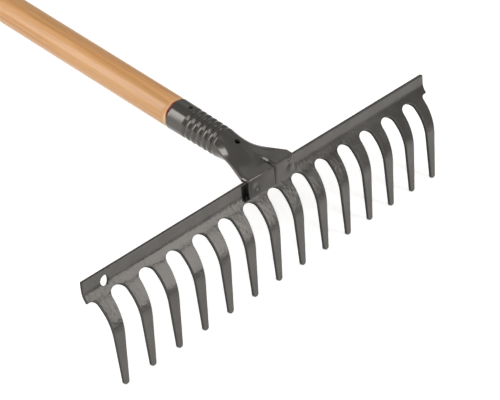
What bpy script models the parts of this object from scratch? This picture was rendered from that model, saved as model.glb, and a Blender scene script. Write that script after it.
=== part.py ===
"""Garden rake: a fourteen-tooth head pressed from one steel blank, a seamed and grooved steel socket whose
flattened end is folded over the head's top edge, and a turned wooden handle nailed into the socket.

The tool's own frame has X along the head, Y along the handle towards the grip and Z up, with its origin on
the handle's axis where that meets the head's top edge. The finished rake is laid down as it rests on flat
ground, on its tooth tips and the far end of its handle, with the world's origin under the middle of its box.
"""

import math

import bmesh
import bpy
import numpy as np
from mathutils import Vector

# Clearance between pieces that touch on the real rake.
FIT_GAP = 0.0003

# Head: the flat blank, measured along the sheet.
TOOTH_COUNT = 14
TOOTH_PITCH = 0.027
TOOTH_TIP_WIDTH = 0.0046
TOOTH_ROOT_WIDTH = 0.0130
TOOTH_TIP_CORNER = 0.0021
SLOT_DROP = 0.0154
SLOT_CORNER = 0.0066
END_MARGIN = 0.0133
FOOT_DROP = 0.0164
FOOT_CORNER = 0.0042
END_CORNER = 0.0008
HANG_HOLE_RADIUS = 0.0039
HANG_HOLE_INSET = 0.0200
HANG_HOLE_DROP = 0.0080

# Head: the pressed shape, from the top edge down to the tips.
PLATE = 0.0028
PLATE_TOP = -0.0004
FLANGE_FLAT = 0.0065
FLANGE_BEND = 0.0134
SHOULDER_BEND = 0.0370
TOOTH_STRAIGHT = 0.0373
FLANGE_LEAN = math.radians(15.1)
SHOULDER_LEAN = math.radians(62.6)
TOOTH_LEAN = math.radians(16.3)

# Socket: the rolled tube.
WALL = 0.0018
TUBE_RADIUS = 0.0125
NECK_RADIUS = 0.0117
SOCKET_LENGTH = 0.0868
GROOVE_COUNT = 6
GROOVE_PITCH = 0.00525
GROOVE_DEPTH = 0.0009
GROOVE_WIDTH = 0.0038
GROOVE_FROM_FAN = 0.0001
NECK_HOLE_RADIUS = 0.0022
NECK_HOLE_FROM_HEAD = 0.0286

# Socket: the flattened fan, its open seam and its two flaps.
FAN_LENGTH = 0.0412
FAN_HALF_WIDTH = 0.0268
FAN_FLARE = 2.4
FAN_DRIFT = 0.0026
FOLD_DEPTH = 0.0046
SEAM_LENGTH = 0.0165
SEAM_GAP = 0.0006
SEAM_DRIFT = 0.0062
INSIDE_BEND = 0.0003
REAR_FLAP_LENGTH = 0.0060
FLAP_ABOVE_SLOTS = 0.0008
FLAP_SKEW = 0.0018

# Nail at the socket's mouth.
NAIL_FROM_MOUTH = 0.0120
NAIL_HEAD_RADIUS = 0.0012
NAIL_HEAD_HEIGHT = 0.0010
NAIL_SHANK_RADIUS = 0.0009
NAIL_LENGTH = 0.0170
NAIL_SUNK = 0.0006
NAIL_POINT = 0.0025

# Handle.
HANDLE_RADIUS = 0.0123
HANDLE_LENGTH = 1.3500
HANDLE_CHAMFER = 0.0040
HANDLE_CHAMFER_DEPTH = 0.0010
TENON_FROM_FAN = 0.0016
TENON_CHAMFER = 0.0015
GRIP_ROUNDING = 0.0080

# Weld beads between the front flap and the head.
BEAD_LENGTH = 0.0044
BEAD_RADIUS = 0.0012
LEFT_BEAD_DROP = 0.0118
RIGHT_BEAD_DROP = 0.0042

# Fineness of the round forms.
BEND_STEPS = 8
ARC_STEPS = 12
TURN_STEPS = 28
FAN_STEPS = 10
GROOVE_STEPS = 6
CORNER_STEPS = 4
HOLE_STEPS = 20
MERGE = 0.000001
FLAT_ANGLE = math.radians(0.5)
SHARP_ANGLE = math.radians(40.0)

SHEET_HEIGHT = (
    TOOTH_STRAIGHT
    + SHOULDER_BEND * (SHOULDER_LEAN - TOOTH_LEAN)
    + FLANGE_BEND * (SHOULDER_LEAN - FLANGE_LEAN)
    + FLANGE_FLAT
)
HEAD_HALF = (TOOTH_COUNT - 1) * TOOTH_PITCH / 2 + END_MARGIN
FIRST_GROOVE = FAN_LENGTH + GROOVE_FROM_FAN + GROOVE_WIDTH / 2
TENON_END = FAN_LENGTH + TENON_FROM_FAN
GRIP_END = TENON_END + HANDLE_LENGTH
NAIL_Y = SOCKET_LENGTH - NAIL_FROM_MOUTH

# The head's top edge leans with the flange, so its rear corner is its highest point.
RIM_FRONT = Vector((-math.cos(FLANGE_LEAN), math.sin(-FLANGE_LEAN))) * PLATE / 2 + Vector((0.0, PLATE_TOP))
RIM_REAR = Vector((math.cos(FLANGE_LEAN), math.sin(FLANGE_LEAN))) * PLATE / 2 + Vector((0.0, PLATE_TOP))
FOLD_TOP = RIM_REAR.y + FIT_GAP + WALL
FOLD_BOTTOM = FOLD_TOP - FOLD_DEPTH
FOLD_RADIUS = FOLD_TOP - WALL - RIM_FRONT.y


def clear_scene():
    for obj in list(bpy.data.objects):
        bpy.data.objects.remove(obj, do_unlink=True)


def make_collection(name):
    collection = bpy.data.collections.new(name)
    bpy.context.scene.collection.children.link(collection)
    return collection


def make_material(name, colour, roughness, metallic):
    """A plain finish: linear RGB colour, roughness and metallic value."""
    material = bpy.data.materials.new(name)
    material.use_nodes = True
    shader = material.node_tree.nodes["Principled BSDF"]
    shader.inputs["Base Color"].default_value = (*colour, 1.0)
    shader.inputs["Roughness"].default_value = roughness
    shader.inputs["Metallic"].default_value = metallic
    return material


def add_part(name, mesh, collection, material=None):
    obj = bpy.data.objects.new(name, mesh)
    if material:
        mesh.materials.append(material)
    collection.objects.link(obj)
    return obj


def hide_cutter(obj):
    obj.hide_render = True
    obj.display_type = "WIRE"


def mesh_from(name, build):
    """A mesh filled by a function that works on a bmesh."""
    shape = bmesh.new()
    build(shape)
    mesh = bpy.data.meshes.new(name)
    shape.to_mesh(mesh)
    shape.free()
    return mesh


def shade_round(mesh):
    """Smooth shading over the round forms, with true corners kept crisp."""
    mesh.shade_smooth()
    mesh.set_sharp_from_angle(angle=SHARP_ANGLE)


def evaluated_mesh(obj):
    """The object's shape with its modifiers or its filling applied, as a new mesh."""
    graph = bpy.context.evaluated_depsgraph_get()
    return bpy.data.meshes.new_from_object(obj.evaluated_get(graph))


def cut(obj, cutter):
    boolean = obj.modifiers.new(f"cut {cutter.name}", "BOOLEAN")
    boolean.operation = "DIFFERENCE"
    boolean.object = cutter


def arc(centre, radius, start, end, steps):
    """Points on an arc, from one angle to another, both ends included."""
    angles = np.linspace(start, end, steps + 1)
    return [(centre[0] + radius * math.cos(a), centre[1] + radius * math.sin(a)) for a in angles]


def round_corner(before, corner, after, radius, steps):
    """The arc that rounds one corner of an outline and is tangent to both of its sides."""
    corner = Vector(corner)
    first = (Vector(before) - corner).normalized()
    second = (Vector(after) - corner).normalized()
    half_angle = first.angle(second) / 2
    centre = corner + (first + second).normalized() * radius / math.sin(half_angle)
    run = radius / math.tan(half_angle)
    start = corner + first * run - centre
    sweep = start.angle_signed(corner + second * run - centre)
    heading = math.atan2(start.y, start.x)
    return arc(centre, radius, heading, heading - sweep, steps)


def blank_corners():
    """Corners of the flat blank as (x, height up the sheet, corner radius), anticlockwise from the top left."""
    slot = SHEET_HEIGHT - SLOT_DROP
    foot = SHEET_HEIGHT - FOOT_DROP
    corners = [(-HEAD_HALF, SHEET_HEIGHT, END_CORNER), (-HEAD_HALF, foot, END_CORNER)]
    for tooth in range(TOOTH_COUNT):
        x = (tooth - (TOOTH_COUNT - 1) / 2) * TOOTH_PITCH
        left = (foot, FOOT_CORNER) if tooth == 0 else (slot, SLOT_CORNER)
        right = (foot, FOOT_CORNER) if tooth == TOOTH_COUNT - 1 else (slot, SLOT_CORNER)
        corners += [
            (x - TOOTH_ROOT_WIDTH / 2, *left),
            (x - TOOTH_TIP_WIDTH / 2, 0.0, TOOTH_TIP_CORNER),
            (x + TOOTH_TIP_WIDTH / 2, 0.0, TOOTH_TIP_CORNER),
            (x + TOOTH_ROOT_WIDTH / 2, *right),
        ]
    return corners + [(HEAD_HALF, foot, END_CORNER), (HEAD_HALF, SHEET_HEIGHT, END_CORNER)]


def blank_outline():
    corners = blank_corners()
    outline = []
    for i, (x, y, radius) in enumerate(corners):
        before, after = corners[i - 1], corners[(i + 1) % len(corners)]
        outline += round_corner(before[:2], (x, y), after[:2], radius, CORNER_STEPS)
    return outline


def sheet_path():
    """Stations down the pressed sheet's middle surface, tips first: height up the sheet, then Y and Z."""
    bends = (
        (FLANGE_FLAT, FLANGE_LEAN, FLANGE_LEAN, 1),
        (FLANGE_BEND * (SHOULDER_LEAN - FLANGE_LEAN), FLANGE_LEAN, SHOULDER_LEAN, BEND_STEPS),
        (SHOULDER_BEND * (SHOULDER_LEAN - TOOTH_LEAN), SHOULDER_LEAN, TOOTH_LEAN, BEND_STEPS),
        (TOOTH_STRAIGHT, TOOTH_LEAN, TOOTH_LEAN, 1),
    )
    height, y, z = SHEET_HEIGHT, 0.0, PLATE_TOP
    stations = [(height, y, z)]
    for length, lean_from, lean_to, steps in bends:
        leans = np.linspace(lean_from, lean_to, steps + 1)
        run = length / steps
        for lean in (leans[1:] + leans[:-1]) / 2:
            height -= run
            y -= run * math.sin(lean)
            z -= run * math.cos(lean)
            stations.append((height, y, z))
    return np.array(stations[::-1])


def flat_curve(name, outlines):
    """A filled flat curve: its first outline is the edge and the others are holes."""
    curve = bpy.data.curves.new(name, "CURVE")
    curve.dimensions = "2D"
    curve.fill_mode = "BOTH"
    for outline in outlines:
        spline = curve.splines.new("POLY")
        spline.points.add(len(outline) - 1)
        spline.use_cyclic_u = True
        for point, (x, y) in zip(spline.points, outline):
            point.co = (x, y, 0.0, 1.0)
    return curve


def punch_blank(collection):
    """The flat blank as a mesh, with its teeth, slots and hanging hole."""
    hole_centre = (HANG_HOLE_INSET - HEAD_HALF, SHEET_HEIGHT - HANG_HOLE_DROP)
    hole = arc(hole_centre, HANG_HOLE_RADIUS, 0.0, 2 * math.pi, HOLE_STEPS)[:-1]
    curve = flat_curve("blank", [blank_outline(), hole])
    drawn = bpy.data.objects.new("blank", curve)
    collection.objects.link(drawn)
    mesh = evaluated_mesh(drawn)
    bpy.data.objects.remove(drawn, do_unlink=True)
    return mesh


def press_sheet(mesh):
    """Bends the flat blank: cuts up each tooth and slot and across at each station, then moves every point."""
    stations = sheet_path()
    sheet = bmesh.new()
    sheet.from_mesh(mesh)
    bmesh.ops.remove_doubles(sheet, verts=sheet.verts, dist=MERGE)
    bmesh.ops.beautify_fill(sheet, faces=sheet.faces, edges=sheet.edges, method="ANGLE")
    bmesh.ops.dissolve_limit(sheet, angle_limit=FLAT_ANGLE, verts=sheet.verts, edges=sheet.edges)
    half_pitches = np.arange(1 - TOOTH_COUNT, TOOTH_COUNT) * TOOTH_PITCH / 2
    cuts = [((x, 0, 0), (1, 0, 0)) for x in half_pitches] + [((0, y, 0), (0, 1, 0)) for y in stations[1:-1, 0]]
    for point, normal in cuts:
        everything = sheet.verts[:] + sheet.edges[:] + sheet.faces[:]
        bmesh.ops.bisect_plane(sheet, geom=everything, dist=MERGE, plane_co=point, plane_no=normal)
    for vert in sheet.verts:
        height = vert.co.y
        vert.co.y = np.interp(height, stations[:, 0], stations[:, 1])
        vert.co.z = np.interp(height, stations[:, 0], stations[:, 2])
    sheet.to_mesh(mesh)
    sheet.free()


def add_wall(obj, thickness, offset):
    solidify = obj.modifiers.new("sheet", "SOLIDIFY")
    solidify.thickness = thickness
    solidify.offset = offset
    solidify.use_even_offset = True


def make_head(parts, steel):
    mesh = punch_blank(parts)
    press_sheet(mesh)
    head = add_part("rake_head", mesh, parts, steel)
    add_wall(head, PLATE, 0.0)
    return head


def ease(share):
    """Runs from 0 to 1 with a soft start and a soft end."""
    return share * share * (3 - 2 * share)


def tube_radius(y):
    """The tube's outer radius before it is grooved: it narrows evenly from its mouth to the fan."""
    share = (SOCKET_LENGTH - y) / (SOCKET_LENGTH - FAN_LENGTH)
    return TUBE_RADIUS + (NECK_RADIUS - TUBE_RADIUS) * share


def tube_rows():
    """Sections of the round tube, mouth first, as (distance from the head, half width, top, bottom)."""
    rows = [(SOCKET_LENGTH, TUBE_RADIUS)]
    for groove in reversed(range(GROOVE_COUNT)):
        centre = FIRST_GROOVE + groove * GROOVE_PITCH
        for step in range(GROOVE_STEPS + 1):
            turn = 2 * math.pi * step / GROOVE_STEPS
            depth = GROOVE_DEPTH * (1 - math.cos(turn)) / 2
            y = centre + GROOVE_WIDTH * (0.5 - step / GROOVE_STEPS)
            rows.append((y, tube_radius(y) - depth))
    return [(y, radius, radius, -radius) for y, radius in rows]


def fan_rows():
    """Sections of the fan, from the round tube to the flat fold over the head."""
    rows = []
    fan_end = rear_bend_centre()[0]
    for step in range(FAN_STEPS + 1):
        share = step / FAN_STEPS
        y = FAN_LENGTH + (fan_end - FAN_LENGTH) * share
        depth_share = 0.8 * share + 0.2 * ease(share)
        half_width = NECK_RADIUS + (FAN_HALF_WIDTH - NECK_RADIUS) * share**FAN_FLARE
        top = NECK_RADIUS + (FOLD_TOP - NECK_RADIUS) * share
        bottom = -NECK_RADIUS + (FOLD_BOTTOM + NECK_RADIUS) * depth_share
        rows.append((y, half_width, top, bottom))
    return rows


def seam_at(y):
    """The seam's middle and half its opening, at a distance from the head."""
    share = max(0.0, 1 - y / SEAM_LENGTH)
    return SEAM_DRIFT * share, SEAM_GAP / 2 if share else 0.0


def fan_shift(y):
    """How far a section lies to the right of the handle's axis: the flattened end is a little off centre."""
    return FAN_DRIFT * max(0.0, 1 - y / FAN_LENGTH) ** 2


def section(y, half_width, top, bottom):
    """One oval section as points, clockwise from the seam as seen from the grip.

    The oval is two half circles joined by straight sides, so where its width equals its height it is the
    round tube, and the points of its straight sides fall together there.
    """
    radius = min((top - bottom) / 2, half_width)
    middle = (top + bottom) / 2
    side = half_width - radius
    shift = fan_shift(y)
    seam, opening = seam_at(y)
    right = arc((shift + side, middle), radius, math.pi / 2, -math.pi / 2, ARC_STEPS)
    left = arc((shift - side, middle), radius, -math.pi / 2, -math.pi * 3 / 2, ARC_STEPS)
    ring = [(seam + opening, top), *right, (shift, bottom), *left, (seam - opening, top)]
    return [(x, y, z) for x, z in ring]


def sheet_point(drop, off):
    """Y, Z and lean at a distance down the head's sheet, a distance off its middle surface towards the front."""
    stations = sheet_path()
    heights = SHEET_HEIGHT - drop + np.array([-MERGE, 0.0, MERGE])
    y = np.interp(heights, stations[:, 0], stations[:, 1])
    z = np.interp(heights, stations[:, 0], stations[:, 2])
    lean = math.atan2(y[2] - y[0], z[2] - z[0])
    return y[1] - off * math.cos(lean), z[1] + off * math.sin(lean), lean


def flap_lean():
    """The front flap's lean and length, such that its lower edge lies on the head's shoulder.

    The flap is tangent to its fold round the front corner of the head's top edge, and passes through the
    point just above the slots, one clearance in front of the shoulder.
    """
    foot = Vector(sheet_point(SLOT_DROP - FLAP_ABOVE_SLOTS, PLATE / 2 + FIT_GAP)[:2])
    reach = foot - RIM_FRONT
    lean = math.atan2(-reach.x, -reach.y) - math.asin(FOLD_RADIUS / reach.length)
    length = math.sqrt(reach.length_squared - FOLD_RADIUS**2)
    return lean, length


def front_flap_path():
    """Y and Z down the outer face of the front flap, from the fold's start over the plate to its lower edge."""
    lean, length = flap_lean()
    fold = arc(RIM_FRONT, FOLD_RADIUS + WALL, math.pi / 2, math.pi - lean, ARC_STEPS // 2)
    y, z = fold[-1]
    return fold + [(y - length * math.sin(lean), z - length * math.cos(lean))]


def flap_skew(drop):
    """How far the front flap has drifted to the left, at a distance down it from the fold."""
    return FLAP_SKEW * drop / flap_lean()[1]


def rear_bend_centre():
    """Y and Z of the centre about which the fan's lower layer is bent down behind the flange."""
    z = FOLD_BOTTOM - INSIDE_BEND
    off = FIT_GAP + WALL + INSIDE_BEND
    y = RIM_REAR.x + (off + (z - RIM_REAR.y) * math.sin(FLANGE_LEAN)) / math.cos(FLANGE_LEAN)
    return y, z


def rear_flap_path():
    """Y and Z down the outer face of the rear flap, which lies along the flange's rear."""
    bend = arc(rear_bend_centre(), INSIDE_BEND, math.pi / 2, math.pi - FLANGE_LEAN, ARC_STEPS // 3)
    y, z = bend[-1]
    drop = (math.sin(FLANGE_LEAN) * REAR_FLAP_LENGTH, math.cos(FLANGE_LEAN) * REAR_FLAP_LENGTH)
    return bend[1:] + [(y - drop[0], z - drop[1])]


def skin(shape, rows):
    """Faces between rows of points; rows whose points fall together are merged afterwards."""
    verts = [[shape.verts.new(point) for point in row] for row in rows]
    for upper, lower in zip(verts, verts[1:]):
        for i in range(len(upper) - 1):
            shape.faces.new((upper[i], upper[i + 1], lower[i + 1], lower[i]))


def socket_skin(shape):
    """The socket's outer face: tube and fan in one piece, then the front flap's two halves and the rear flap."""
    rows = [section(*row) for row in tube_rows() + fan_rows()]
    skin(shape, rows)
    last = rows[-1]
    flat = ARC_STEPS // 6
    middle = ARC_STEPS + 2
    fold = front_flap_path()
    foot = fold.pop()
    for strip in (last[: flat + 2], last[-flat - 2 :]):
        folded = [[(x, y, z) for x, _, _ in strip] for y, z in fold]
        skin(shape, [strip] + folded + [[(x - FLAP_SKEW, *foot) for x, _, _ in strip]])
    rear = last[middle - flat - 1 : middle + flat + 2]
    skin(shape, [rear] + [[(x, y, z) for x, _, _ in rear] for y, z in rear_flap_path()])
    bmesh.ops.remove_doubles(shape, verts=shape.verts, dist=MERGE)
    bmesh.ops.recalc_face_normals(shape, faces=shape.faces)


def upright_cutter(name, radius, y, collection):
    """A cylinder down from above the socket to its axis, as a cutter."""

    def build(shape):
        bmesh.ops.create_cone(
            shape, cap_ends=True, segments=HOLE_STEPS, radius1=radius, radius2=radius, depth=2 * TUBE_RADIUS
        )

    cutter = add_part(name, mesh_from(name, build), collection)
    cutter.location = (0.0, y, TUBE_RADIUS)
    hide_cutter(cutter)
    return cutter


def make_socket(parts, cutters, steel):
    socket = add_part("socket", mesh_from("socket", socket_skin), parts, steel)
    shade_round(socket.data)
    add_wall(socket, WALL, -1.0)
    cut(socket, upright_cutter("nail_hole", NAIL_HEAD_RADIUS + FIT_GAP, NAIL_Y, cutters))
    cut(socket, upright_cutter("neck_hole", NECK_HOLE_RADIUS, NECK_HOLE_FROM_HEAD, cutters))
    return socket


def turned(name, profile, collection, material=None):
    """A solid of revolution about Z. The profile, as (radius, height), runs down the outside, top first."""

    def build(shape):
        verts = [shape.verts.new((radius, 0.0, height)) for radius, height in profile]
        for first, second in zip(verts, verts[1:]):
            shape.edges.new((first, second))

    profiled = add_part(f"{name} profile", mesh_from(name, build), collection)
    screw = profiled.modifiers.new("turn", "SCREW")
    screw.steps = TURN_STEPS
    screw.render_steps = TURN_STEPS
    screw.use_merge_vertices = True
    screw.merge_threshold = MERGE
    mesh = evaluated_mesh(profiled)
    bpy.data.objects.remove(profiled, do_unlink=True)
    shade_round(mesh)
    return add_part(name, mesh, collection, material)


def handle_profile():
    """Radius and distance from the head, from the grip's rounded end down to the tenon in the socket."""
    shoulder = SOCKET_LENGTH + FIT_GAP
    step_end = FIRST_GROOVE + (GROOVE_COUNT - 1) * GROOVE_PITCH + GROOVE_WIDTH / 2
    step_start = step_end + GROOVE_DEPTH
    play = WALL + FIT_GAP
    end_radius = tube_radius(TENON_END) - play - GROOVE_DEPTH
    centre = (HANDLE_RADIUS - GRIP_ROUNDING, GRIP_END - GRIP_ROUNDING)
    rounding = arc(centre, GRIP_ROUNDING, math.pi / 2, 0.0, ARC_STEPS // 2)
    return [
        (0.0, GRIP_END),
        *rounding,
        (HANDLE_RADIUS, shoulder + HANDLE_CHAMFER),
        (HANDLE_RADIUS - HANDLE_CHAMFER_DEPTH, shoulder),
        (TUBE_RADIUS - play, shoulder),
        (tube_radius(step_start) - play, step_start),
        (tube_radius(step_end) - play - GROOVE_DEPTH, step_end),
        (end_radius, TENON_END + TENON_CHAMFER),
        (end_radius - TENON_CHAMFER, TENON_END),
        (0.0, TENON_END),
    ]


def nail_seat():
    """Height of the top of the nail's head."""
    return tube_radius(NAIL_Y) - NAIL_SUNK


def make_handle(parts, cutters, wood):
    handle = turned("handle", handle_profile(), parts, wood)
    handle.rotation_euler.x = -math.pi / 2
    depth = NAIL_LENGTH + FIT_GAP

    def build(shape):
        radius = NAIL_SHANK_RADIUS + FIT_GAP
        bmesh.ops.create_cone(
            shape, cap_ends=True, segments=HOLE_STEPS, radius1=radius, radius2=radius, depth=2 * depth
        )

    pilot = add_part("pilot_hole", mesh_from("pilot_hole", build), cutters)
    pilot.location = (0.0, NAIL_Y, nail_seat())
    hide_cutter(pilot)
    cut(handle, pilot)
    return handle


def make_nail(parts, steel):
    """The brad that holds the handle: its head lies in the socket's hole, below the outer face."""
    profile = [
        (0.0, 0.0),
        (NAIL_HEAD_RADIUS, 0.0),
        (NAIL_HEAD_RADIUS, -NAIL_HEAD_HEIGHT),
        (NAIL_SHANK_RADIUS, -NAIL_HEAD_HEIGHT),
        (NAIL_SHANK_RADIUS, NAIL_POINT - NAIL_LENGTH),
        (0.0, -NAIL_LENGTH),
    ]
    nail = turned("socket_nail", profile, parts, steel)
    nail.location = (0.0, NAIL_Y, nail_seat())
    return nail


def make_bead(name, side, drop, parts, steel):
    """A weld bead on the head's front face, beside the front flap's edge. The side is -1 or 1."""

    def build(shape):
        bmesh.ops.create_uvsphere(shape, u_segments=ARC_STEPS, v_segments=ARC_STEPS // 2, radius=BEAD_RADIUS)
        bmesh.ops.scale(shape, verts=shape.verts, vec=(1.0, 1.0, BEAD_LENGTH / (2 * BEAD_RADIUS)))

    last = fan_rows()[-1]
    half_flap = section(*last)[1 + ARC_STEPS // 6][0] - fan_shift(last[0])
    y, z, lean = sheet_point(drop, PLATE / 2 + FIT_GAP + BEAD_RADIUS)
    bead = add_part(name, mesh_from(name, build), parts, steel)
    shade_round(bead.data)
    middle = fan_shift(last[0]) - flap_skew(drop)
    bead.location = (middle + side * (half_flap + FIT_GAP + BEAD_RADIUS), y, z)
    bead.rotation_euler.x = -lean
    return bead


def rest_tilt():
    """The angle that brings the tips' rear edge and the grip's rounded end to the same level."""
    stations = sheet_path()
    rear = Vector((math.cos(TOOTH_LEAN), -math.sin(TOOTH_LEAN))) * PLATE / 2
    tip = Vector(stations[0, 1:]) + rear
    grip = Vector((GRIP_END - GRIP_ROUNDING, GRIP_ROUNDING - HANDLE_RADIUS))
    reach = grip - tip
    return math.atan2(reach.y, reach.x) - math.asin(GRIP_ROUNDING / reach.length)


def lay_down(parts):
    """Parents every piece to one empty, tilts it to rest and sets the box's bottom middle on the origin."""
    stand = bpy.data.objects.new("rake_at_rest", None)
    parts.objects.link(stand)
    for obj in list(bpy.data.objects):
        if obj is not stand:
            obj.parent = stand
    stand.rotation_euler.x = -rest_tilt()
    bpy.context.view_layer.update()
    graph = bpy.context.evaluated_depsgraph_get()
    corners = []
    for obj in parts.objects:
        if obj.type == "MESH":
            solid = obj.evaluated_get(graph)
            corners += [solid.matrix_world @ vert.co for vert in solid.data.vertices]
    corners = np.array(corners)
    low, high = corners.min(axis=0), corners.max(axis=0)
    stand.location = (-(low[0] + high[0]) / 2, -(low[1] + high[1]) / 2, -low[2])
    bpy.context.view_layer.update()


def main():
    clear_scene()
    parts = make_collection("garden_rake")
    cutters = make_collection("cutters")
    steel = make_material("grey paint on steel", (0.085, 0.082, 0.078), 0.42, 0.0)
    bright = make_material("bare steel", (0.30, 0.30, 0.31), 0.40, 1.0)
    wood = make_material("varnished wood", (0.58, 0.27, 0.09), 0.38, 0.0)
    make_head(parts, steel)
    make_socket(parts, cutters, steel)
    make_handle(parts, cutters, wood)
    make_nail(parts, bright)
    make_bead("weld_bead_left", -1, LEFT_BEAD_DROP, parts, steel)
    make_bead("weld_bead_right", 1, RIGHT_BEAD_DROP, parts, steel)
    lay_down(parts)


main()
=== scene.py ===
"""A garden rake in its lacquered and varnished finish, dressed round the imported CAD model.

The rake's own frame has X along the head, Y along the handle towards the grip and Z up, with its origin on
the handle's axis abreast of the head's top edge. Pieces are worked out in that frame and then laid down as
the rake rests on flat ground, on its tooth tips and the far end of its handle.
"""

import math

import bmesh
import bpy
import numpy as np
from bpy.props import FloatProperty, IntProperty, PointerProperty, StringProperty
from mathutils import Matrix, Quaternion, Vector


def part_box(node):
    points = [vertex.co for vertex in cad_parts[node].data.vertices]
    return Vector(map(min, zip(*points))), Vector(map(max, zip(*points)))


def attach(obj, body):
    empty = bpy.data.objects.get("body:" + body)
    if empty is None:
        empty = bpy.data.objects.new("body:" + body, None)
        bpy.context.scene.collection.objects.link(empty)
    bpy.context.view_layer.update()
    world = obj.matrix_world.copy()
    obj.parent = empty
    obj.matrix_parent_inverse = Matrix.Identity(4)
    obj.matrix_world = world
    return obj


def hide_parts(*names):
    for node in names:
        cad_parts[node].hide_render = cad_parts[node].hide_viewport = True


bl_info = {
    "name": "Garden Rake",
    "version": (1, 0, 0),
    "blender": (4, 5, 0),
    "location": "3D View > Sidebar > Rake",
    "description": "Dresses the packed garden rake: pressed head, formed socket, turned handle and finishes",
    "category": "Object",
}

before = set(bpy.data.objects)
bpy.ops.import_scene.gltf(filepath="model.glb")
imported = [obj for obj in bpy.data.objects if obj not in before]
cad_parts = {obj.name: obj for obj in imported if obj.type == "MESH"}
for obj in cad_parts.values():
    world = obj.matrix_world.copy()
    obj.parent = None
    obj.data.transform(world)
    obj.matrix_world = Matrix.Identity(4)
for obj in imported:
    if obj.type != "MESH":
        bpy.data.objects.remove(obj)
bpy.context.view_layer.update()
FINISHES = {}

# How the rake lies at rest: the handle's slope and the place of its own frame's origin.
REST_TILT = 0.0432176
REST_PLACE = np.array((0.0, -0.6748981, 0.0721251))

# The head's flat blank.
TIP_WIDTH = 0.0046
ROOT_WIDTH = 0.0130
TIP_CORNER = 0.0021
SLOT_DROP = 0.0154
SLOT_CORNER = 0.0066
END_MARGIN = 0.0133
FOOT_DROP = 0.0164
FOOT_CORNER = 0.0042
END_CORNER = 0.0008
HANG_HOLE_RADIUS = 0.0039
HANG_HOLE_INSET = 0.0200
HANG_HOLE_DROP = 0.0080
CORNER_STEPS = 8
HANG_HOLE_STEPS = 40

# The press form, from the top edge down to the tips.
PLATE_TOP = -0.0004
FLANGE_FLAT = 0.0065
FLANGE_BEND = 0.0134
SHOULDER_BEND = 0.0370
TOOTH_STRAIGHT = 0.0373
FLANGE_LEAN = math.radians(15.1)
SHOULDER_LEAN = math.radians(62.6)
TOOTH_LEAN = math.radians(16.3)
SHEET_HEIGHT = (
    TOOTH_STRAIGHT
    + SHOULDER_BEND * (SHOULDER_LEAN - TOOTH_LEAN)
    + FLANGE_BEND * (SHOULDER_LEAN - FLANGE_LEAN)
    + FLANGE_FLAT
)
FORM_STATIONS = 1200

# The sheet's wander is two waves: radians per metre along the head and down it, start and share of each.
LONG_WAVE, LONG_WAVE_START, LONG_WAVE_SHARE = 31.0, 0.6, 0.6
SHORT_WAVE, SHORT_WAVE_DOWN, SHORT_WAVE_SHARE = 83.0, 40.0, 0.4
WAVE_AT_TOP = 0.3

# The socket's tube, with its grooves and holes.
FIT_GAP = 0.0003
TUBE_RADIUS = 0.0125
NECK_RADIUS = 0.0117
SOCKET_LENGTH = 0.0868
GROOVE_PITCH = 0.00525
GROOVE_WIDTH = 0.0042
GROOVE_BOTTOM = 0.15
GROOVE_RIM = 1.6
FIRST_GROOVE = 0.0432
NAIL_HOLE_RADIUS = 0.0015
NAIL_HOLE_AT = 0.0748
NECK_HOLE_RADIUS = 0.0022
NECK_HOLE_AT = 0.0286
LEAD_IN_DEPTH = 0.0006
LEAD_IN_FLARE = 0.0005
CUTTER_ABOVE = 0.0040
CUTTER_STEPS = 48

# The socket's fan and its seam.
FAN_LENGTH = 0.0412
FAN_HALF_WIDTH = 0.0268
FAN_FLARE = 1.8
FLAT_RISE = 0.000001
UNDERSIDE_EASE = 0.2
FAN_DRIFT = 0.0026
FOLD_DEPTH = 0.0046
END_ROUNDING = 0.0014
END_ROUNDING_LENGTH = 0.0150
SEAM_LENGTH = 0.0130
SEAM_GAP = 0.0002
SEAM_RUN = 0.0300
SEAM_DRIFT = 0.0062
SEAM_CURVE = 1.3
SEAM_OPENING = 2.5
LIFT_LENGTH = 0.0260
LOBE_WIDTH = 0.0090
LIP_WIDTH = 0.0020
LIP_OPENING = 4.0
DIP_WIDTH = 0.0080
DIP_TURN = 2.2

# The flaps: how far round the fan's side the front one reaches and how far up it the rear one, and sizes.
FLAP_ROUND = 0.0031
REAR_ROUND = 0.0003
INSIDE_BEND = 0.0003
REAR_FLAP_LENGTH = 0.0060
FLAP_ABOVE_SLOTS = 0.0008
FLAP_SKEW = 0.0018
FLAP_SPLAY = 0.0034
FLAP_CUT = 0.0010
FLAP_LENGTH = 0.0127
FLAP_LEFT_RUN = 0.0250
BOW_HALF_WIDTH = 0.0265

# Two dents and two drops of weld on the front flap: place across it, place down it, radius and height.
PRESS_MARKS = (
    (-0.0160, 0.0066, 0.0024, -0.00032),
    (0.0222, 0.0030, 0.0014, 0.00055),
    (0.0226, 0.0066, 0.0016, 0.00060),
    (0.0190, 0.0052, 0.0024, -0.00035),
)

# The handle.
HANDLE_RADIUS = 0.0123
GRIP_END = 1.3928
GRIP_ROUNDING = 0.0080
TENON_END = 0.0428
TENON_CHAMFER = 0.0015
GROOVES_END = 0.07145
GROOVE_ROOM = 0.0009
SHANK_FROM_GRIP = 0.0120
SHANK_FROM_SHOULDER = 0.0060
SHOULDER_ROUND_END = 0.0050
SHOULDER_ROUND_LENGTH = 0.0048

# The weld beads: half sizes across, outward and along, their ripples, and how far down the sheet they lie.
BEAD_ACROSS, BEAD_OUT, BEAD_ALONG = 0.0018, 0.0009, 0.0023
BEAD_RIPPLE = 0.06
BEAD_RIPPLES = 3
BEAD_SWELL_START = 0.7
BEAD_DROPS = {"weld_bead_left": 0.0118, "weld_bead_right": 0.0042}

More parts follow.
